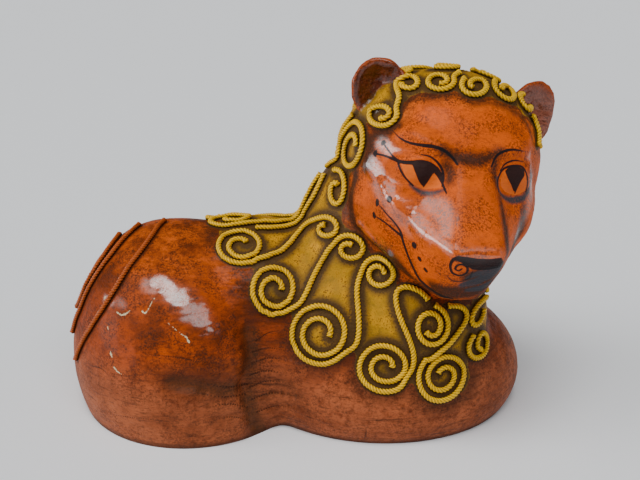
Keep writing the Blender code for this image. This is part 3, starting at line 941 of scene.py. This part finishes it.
brushes = {
    "ink": brushed(INK_STROKES, INK_DOTS),
    "faint": brushed(FAINT_STROKES),
    "wash_and_shade": brushed(WASH_AND_SHADE_STROKES),
    "painted_shade": brushed(PAINTED_SHADE_STROKES),
    "gloss": brushed(GLOSS_STROKES),
    "crack": brushed(CRACKS),
    "chip": brushed(CHIPS),
}
fine_lines = near_to([spot for points, _ in INK_STROKES + FAINT_STROKES + CRACKS + CHIPS
                      for spot in drop_on(form, "near", points, 8)])
near_eye = np.array(picture_axes("near")[0])


def spots_and_facing(bm):
    spots = np.array([tuple(v.co) for v in bm.verts])
    normals = np.array([tuple(v.normal) for v in bm.verts])
    return spots, np.einsum("ij,ij->i", normals, near_eye - spots) > 0


# The mesh is made finer only where an ink line, an eye, a crack or a chip needs it.
for band in SPLIT_BANDS:
    shell.normal_update()
    spots, facing = spots_and_facing(shell)
    shapes = np.abs(shape_distance(INK_SHAPES + EYE_SHAPES, spots, facing))
    wanted = set()
    for vert, edge_far in zip(shell.verts, shapes):
        if edge_far < band or fine_lines.find(vert.co)[2] < band * MM:
            wanted.add(vert)
    edges = [e for e in shell.edges if e.verts[0] in wanted and e.verts[1] in wanted]
    bmesh.ops.subdivide_edges(shell, edges=edges, cuts=1, use_grid_fill=True)
shell.normal_update()


def way_between(start, goal):
    """The shortest way from one vertex to the other over the shell's edges."""
    came_from = {start: None}
    front = deque([start])
    while goal not in came_from:
        vert = front.popleft()
        for edge in vert.link_edges:
            other = edge.other_vert(vert)
            if other not in came_from:
                came_from[other] = vert
                front.append(other)
    way = [goal]
    while way[-1] != start:
        way.append(came_from[way[-1]])
    return [vert.co for vert in reversed(way)]


def fence_of(runs):
    """A closed loop of points on the form, through every run in turn."""
    corners = [spot for picture, points in runs for spot in drop_on(form, picture, points, 3)]
    loop = []
    for a, b in zip(corners, corners[1:] + corners[:1]):
        if (b - a).length > LONGEST_FENCE_STEP:
            ends = [shell.verts[shell_tree.find(spot)[1]] for spot in (a, b)]
            loop += way_between(*ends)
            continue
        count = max(1, int((b - a).length / FENCE_STEP))
        for k in range(count):
            loop.append(form.find_nearest(a.lerp(b, k / count))[0])
    return loop


shell.verts.ensure_lookup_table()
shell.verts.index_update()
shell_tree = near_to([vert.co for vert in shell.verts])
cape = near_to(fence_of(CAPE_EDGE))
face_frame = near_to(fence_of(FACE_EDGE))
fence_far = [min(cape.find(v.co)[2], face_frame.find(v.co)[2]) for v in shell.verts]


def flood(picture, x, y):
    """Every vertex that can be reached from the picture's point without crossing the fences."""
    seed = form.ray_cast(*picture_ray(picture, x, y))[0]
    start = min(shell.verts, key=lambda v: (v.co - seed).length)
    reached = {start.index}
    front = [start]
    while front:
        vert = front.pop()
        for edge in vert.link_edges:
            other = edge.other_vert(vert)
            if other.index not in reached and fence_far[other.index] > FENCE_REACH:
                reached.add(other.index)
                front.append(other)
    return reached


mane_side = flood(*MANE_SEED)
face_side = flood(*FACE_SEED)
mane_tree = near_to(mane_lines)
tail_tree = near_to(tail_lines)
spots, facing = spots_and_facing(shell)
ink_shapes = shape_distance(INK_SHAPES, spots, facing)
eye_shapes = shape_distance(EYE_SHAPES, spots, facing)
LAYERS = (*brushes, "eye", "mane", "face", "rope", "tail", "ear", "cup", "hollow")
layers = {name: shell.verts.layers.float.new(name) for name in LAYERS}


def step_up(value, start, run):
    """0 up to the start, then a straight rise to 1 over the run."""
    return max(0.0, min(1.0, (value - start) / run))


# Distances are in mm; those to strokes, shapes and the mane's edge are negative inside.
for i, vert in enumerate(shell.verts):
    spot = vert.co
    marks = {name: to_edge(brush, spot) for name, brush in brushes.items()}
    marks["ink"] = min(marks["ink"], ink_shapes[i])
    marks["eye"] = eye_shapes[i]
    far = fence_far[i] / MM
    marks["mane"] = min(far, GONE) * (-1 if i in mane_side else 1)
    marks["face"] = min(1.0, far / 10) if i in face_side else 0.0
    marks["rope"] = min(mane_tree.find(spot)[2] / MM, GONE)
    marks["tail"] = min(tail_tree.find(spot)[2] / MM, GONE)
    near_ear = min((spot - middle).length for middle in ear_middles) / MM
    proud = smooth_crown.find_nearest(spot)[3] / MM
    marks["ear"] = step_up(-near_ear, -36, 4) * step_up(proud, 2, 3)
    marks["cup"] = step_up(-near_ear, -27, 10) * max(0.0, vert.normal.dot(ear_front))
    marks["hollow"] = max(
        bell(line.find(spot)[2], 1.5 * half_width) * min(1.0, depth / 1.6)
        for line, half_width, depth in dents
    )
    for name, value in marks.items():
        vert[layers[name]] = value
body = as_object(shell, "painted_shell")
shell.free()

paint, shader, wire, spot = start_material("varnished_paint")
face = wire.field("face")
rope = wire.field("rope")
mane = wire.field("mane").between(-1.4, -2.6)
broad = wire.grain(spot, 0.018, 2.0)
patchy = wire.grain(spot, 0.07, 3.0)
fine = wire.grain(spot, 0.75, 4.0, 0.6)
dust = wire.grain(spot, 1.9, 2.0)
streaks = wire.grain(spot, 1.0, 3.0, 0.6, (0.035, 0.035, 0.42))
flank = wire.grain(spot, 0.011, 2.0)
height_z = wire.add("SeparateXYZ", {}, {"Vector": spot}, out="Z")
across = wire.add("SeparateXYZ", {}, {"Vector": spot}, out="X")

# Where the coats of paint lie. The clouds, dabs and streaks of dark glaze are fainter on the face.
warmth = (face * 0.8 + broad.between(0.35, 0.65) * 0.30 + height_z.between(40.0, 130.0) * 0.22).clip()
low_side = height_z.between(75.0, 35.0) * (1 - face)
cloud = wire.grain(spot, 0.040, 6.0, 0.66).between(0.38, 0.66) * (0.90 - face * 0.65 - low_side * 0.40)
smear = wire.grain(spot, 0.22, 6.0, 0.7).between(0.44, 0.68) * (0.7 - face * 0.35)
dabs = fine.between(0.44, 0.62) * patchy.between(0.40, 0.58)
weave = wire.grain(spot, 0.5, 5.0, 0.7, (0.55, 0.55, 1.4)).between(0.50, 0.66) * (0.55 - face * 0.25)
specks = dust.between(0.53, 0.72) * wire.grain(spot, 0.05, 2.0).between(0.35, 0.6) * 0.6
lines = streaks.between(0.55, 0.74) * (low_side * 0.45 + 0.25) * (1 - face)
ground = (patchy * 2.0 + fine * 1.4 - 1.30).clip().blend(OLIVE_GROUND, MUSTARD_GROUND)
ground = ground.mixed(fine.between(0.48, 0.64) * patchy.between(0.30, 0.60) * 0.85, DARK_GLAZE_AND_SHADE)
# glaze and painted shade just outside the mane's edge, beside its outer ropes
rim_glaze_and_shade = wire.field("mane").between(11.0, 0.5) * (1 - face.between(0.0, 0.05)) * (0.25 + fine * 1.0)
# glaze and painted shade beside the mane's ropes
corner = (rope.between(10.0, 2.8) * mane + rope.between(4.2, 2.0) * (1 - mane)) * (0.60 + fine * 1.1)
hollow = wire.field("hollow")
# painted shade from the shade strokes
painted_shade_mask = wire.field("painted_shade").between(4.0, -4.0) * (0.42 + fine * 1.3)
ear = wire.field("ear").between(0.1, 0.7)
# the ear cups' dark insides, deepened with painted shade
cup = (wire.field("cup").between(0.3, 0.9) * (0.50 + patchy * 1.0)).clip()
edge = (fine - 0.5) * 0.8
chip = (wire.field("chip") + edge * 3.0).between(0.0, -0.3)
ink = (wire.field("ink") + edge * 0.5).between(0.22, -0.22)
coat = warmth.blend(RUST, ORANGE)
for mask, colour in (
    # paler, duller orange on top of the body, with a painted sheen
    ((1 - face) * height_z.between(90.0, 160.0) * 0.7, BACK_ORANGE_AND_SHEEN),
    (across.between(-70.0, -160.0) * height_z.between(60.0, 90.0) * 0.45, BROWN),
    # the low sides paler and pinker, a painted reflection of the floor
    (low_side * 0.6, FLOOR_REFLECTION_PINK),
    (cloud.clip(), BROWN),
    ((smear * flank.between(0.3, 0.6)).clip(), BROWN),
    ((dabs * (0.80 - face * 0.05 - low_side * 0.35)).clip(), DARK_GLAZE_AND_SHADE),
    (weave, DARK_GLAZE_AND_SHADE),
    (specks, DARK_GLAZE_AND_SHADE),
    (lines, DARK_GLAZE_AND_SHADE),
    # the mane's ground, and the glaze in every corner, with painted shade beside the ropes
    (rim_glaze_and_shade.clip() * 0.85, DARK_GLAZE_AND_SHADE),
    (mane, ground),
    (corner.clip() * 0.94, GREY_GLAZE_AND_SHADE),
    # glaze and painted shade beside the tail ropes
    (wire.field("tail").between(4.5, 1.6) * 0.85, DARK_GLAZE_AND_SHADE),
    # glaze and painted shade in the dents
    ((hollow * (0.1 + fine * 1.3)).clip() * 0.75, DARK_GLAZE_AND_SHADE),
    (hollow.between(0.55, 1.0) * 0.6, GREY_GLAZE_AND_SHADE),
    # painted shade along the shade strokes
    (painted_shade_mask.clip() * 0.96, DARK_GLAZE_AND_SHADE),
    # darker along the bottom few mm
    (height_z.between(6.0, 1.0) * 0.7, DARK_GLAZE_AND_SHADE),
    # the ears: dark insides deepened with painted shade, and the far ear's inside painted lighter with a
    # painted sheen
    (ear, EAR_RUST),
    (ear * fine.between(0.48, 0.66) * 0.8, DARK_GLAZE_AND_SHADE),
    (cup * 0.9, EAR_INSIDE_AND_SHADE),
    (cup * across.between(100.0, 130.0) * 0.6, FAR_EAR_SHEEN),
    # the brushwork and the knocks
    (wire.field("eye").between(0.3, -0.3), EYE_ORANGE),
    # grey wash under the eyes, and painted shade under the nose
    (wire.field("wash_and_shade").between(1.6, -1.2) * (0.5 + fine * 0.9).clip(), GREY_WASH_AND_SHADE),
    (wire.field("faint").between(0.5, -0.3) * 0.75, INK),
    (wire.field("crack").between(0.35, -0.15) * 0.85, DARK_GLAZE_AND_SHADE),
    (chip, CREAM),
    (ink * 0.97, INK),
):
    coat = coat.mixed(mask, colour)

# The varnish shines where it is thick, and has worn dull elsewhere. The relief is in mm.
rubbed = wire.grain(spot, 0.16, 4.0, 0.65)
gloss = wire.field("gloss").between(5.0, -3.0)
ear_shine = wire.field("cup").between(0.2, 0.6)
worn = (rubbed * 1.2 + fine * 2.4 - 0.95).clip()
shine = (0.035 + gloss + ear_shine) * worn * (1 - mane * 0.6)
wrinkle = wire.grain(spot, 1.0, 4.0, 0.6, (0.07, 0.07, 0.30))
fold = wire.sum("ABSOLUTE", wire.grain(spot, 0.12, 3.0, 0.55) - 0.5) * wire.field("cup")
relief = patchy * 0.75 + wrinkle * 0.95 + rubbed * 0.80 + fine * (0.30 + mane * 0.40) + dust * 0.05
relief = relief - fold * 13.0 - wire.field("crack").between(0.5, -0.2) * 0.35 - chip * 0.22 + ink * 0.03
plug(shader, {
    "Base Color": coat,
    "Roughness": 0.42 + fine * 0.25 + chip * 0.4,
    "Coat Weight": (shine * (1 - chip) * (1 - ink * 0.7)).clip(),
    "Coat IOR": 1.9,
    "Coat Roughness": 0.16,
    "Specular IOR Level": 0.08,
    "Normal": relief.bumped(),
})
body.data.materials.append(paint)
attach(body, "root")
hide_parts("body")


# A plain pale floor under the lion, with soft window light from the left and above, as in a bright
# room. It is not part of the object.
FLOOR_HALF = 8
FLOOR_WHITE = (0.86, 0.88, 0.91, 1)
WHITE = (1.0, 1.0, 1.0)
# Each window has the azimuth, elevation and spread of its light in degrees, its power and its tint.
WINDOWS = {
    "left_window": (-84, 8, 30, 1.5, WHITE),
    "left_upper_window": (-76, 42, 36, 0.65, WHITE),
    "left_front_window": (-58, 4, 26, 0.6, WHITE),
    "top_window": (-24, 68, 34, 2.05, (1.0, 0.99, 0.97)),
    "room_window": (26, 48, 34, 0.7, WHITE),
    "right_wall": (80, 8, 56, 0.55, (0.85, 0.93, 1.0)),
}
ROOM_TINT = (0.92, 0.95, 1.0, 1)
ROOM_POWER = 0.09
SENSOR = 36

sheet = bmesh.new()
bmesh.ops.create_grid(sheet, x_segments=1, y_segments=1, size=FLOOR_HALF)
floor = as_object(sheet, "pale_floor")
sheet.free()
card, shader, wire, spot = start_material("pale_card")
plug(shader, {
    "Base Color": FLOOR_WHITE,
    "Specular IOR Level": 0.2,
    "Roughness": 0.60 + wire.grain(spot, 0.05) * 0.15,
})
floor.data.materials.append(card)

for name, (azimuth, elevation, spread, power, tint) in WINDOWS.items():
    az = math.radians(azimuth)
    el = math.radians(elevation)
    back = Vector((math.sin(az) * math.cos(el), -math.cos(az) * math.cos(el), math.sin(el)))
    light = bpy.data.lights.new(name, "SUN")
    light.angle = math.radians(spread)
    light.energy = power
    light.color = tint
    lamp = put_in_scene(name, light)
    lamp.matrix_world = back.to_track_quat("Z", "Y").to_matrix().to_4x4()
world = bpy.data.worlds.new("room")
world.use_nodes = True
plug(world.node_tree.nodes["Background"], {"Color": ROOM_TINT, "Strength": ROOM_POWER})
bpy.context.scene.world = world

view = bpy.data.cameras.new("view")
view.sensor_width = SENSOR
view.lens = SENSOR * PICTURE_FOCUS / (2 * PICTURE_MIDDLE[0])
camera = put_in_scene("view", view)
eye, ahead, _, _ = picture_axes("near")
camera.location = eye
camera.rotation_euler = ahead.to_track_quat("-Z", "Y").to_euler()
bpy.context.scene.camera = camera
